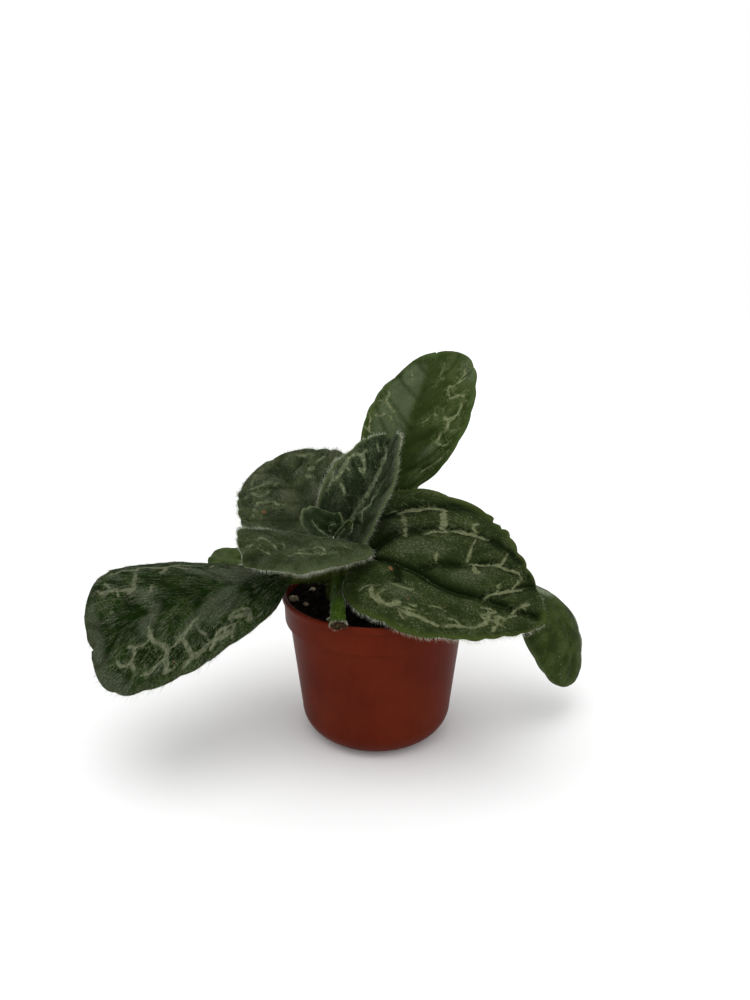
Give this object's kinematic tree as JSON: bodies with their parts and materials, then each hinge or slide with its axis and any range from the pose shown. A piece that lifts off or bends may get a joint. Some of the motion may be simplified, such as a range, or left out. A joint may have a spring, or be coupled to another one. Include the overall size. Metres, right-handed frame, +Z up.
{
  "type": "potted primulina",
  "caption": "Rosette plant with broad velvety pale-veined leaves on a short stalk, standing in soil in a small round plastic nursery pot.",
  "frame": {"origin": "centre of the pot's foot, on the plane the pot stands on", "axes": "+Z up, -Y towards the side seen in the picture, +X to the right of it along the plant's longest spread"},
  "size_m": [0.1589, 0.0897, 0.1189],
  "materials": {
    "pot_plastic": "satin injection-moulded red-brown plastic",
    "soil_mix": "damp, nearly black peat mix",
    "leaf_green": "dark green blade with pale veins, short velvety hairs",
    "young_leaf_green": "grey-green young blade, long soft hairs",
    "stalk_green": "yellow-green hairy stalk"
  },
  "bodies": {
    "root": {"pot": "pot_plastic", "soil": "soil_mix", "stalk": "stalk_green", "cut_leaf_stalk": "stalk_green", "leaf_big_left": "leaf_green", "leaf_big_right": "leaf_green", "leaf_upper_right": "leaf_green", "leaf_back_left": "leaf_green", "leaf_low_left": "leaf_green", "leaf_low_right": "leaf_green", "leaf_young_upright": "young_leaf_green", "leaf_young_front": "young_leaf_green", "leaf_young_centre": "young_leaf_green", "leaf_bud": "young_leaf_green"}
  },
  "joints": []
}
